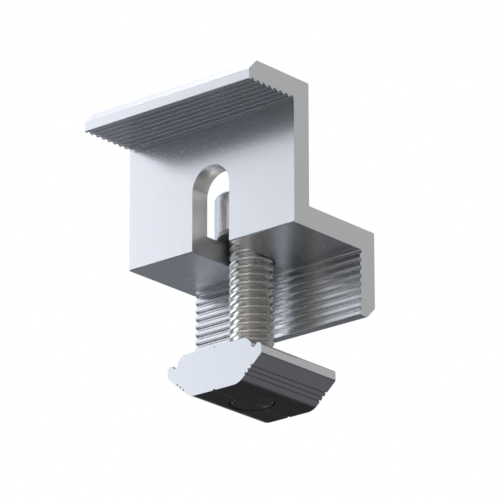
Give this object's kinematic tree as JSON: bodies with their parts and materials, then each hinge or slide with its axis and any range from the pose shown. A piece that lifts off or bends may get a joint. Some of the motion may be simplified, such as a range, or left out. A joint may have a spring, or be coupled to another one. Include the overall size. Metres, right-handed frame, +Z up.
{
  "type": "solar end clamp",
  "caption": "End clamp for a framed solar panel: Z-shaped serrated extrusion, socket cap screw through its slot, and a channel nut that grips the rail.",
  "frame": {"origin": "on the screw's axis, in the plane of the rail's top on which the clamp's foot stands", "axes": "+Z up along the screw, -Y towards the panel, X along the extrusion across the rail"},
  "size_m": [0.038, 0.0337, 0.0527],
  "materials": {
    "clamp_aluminium": "satin anodised mill finish",
    "screw_steel": "bright stainless steel",
    "nut_aluminium": "satin mill finish"
  },
  "bodies": {
    "clamp": {"clamp_body": "clamp_aluminium"},
    "screw": {"socket_screw": "screw_steel"},
    "nut": {"channel_nut": "nut_aluminium"}
  },
  "joints": [
    {"name": "screw_turn", "type": "hinge", "parent": "clamp", "child": "screw", "pos_m": [0, 0, 0.0161], "axis": [0, 0, -1], "range_deg": [-959.8, 1415.8]},
    {"name": "nut_travel", "type": "slide", "parent": "clamp", "child": "nut", "axis": [0, 0, 1], "range_m": [-0.004, 0.0059]}
  ],
  "couplings": [
    {"joint": "nut_travel", "follows": "screw_turn", "m_per_rad": 0.00023873}
  ]
}
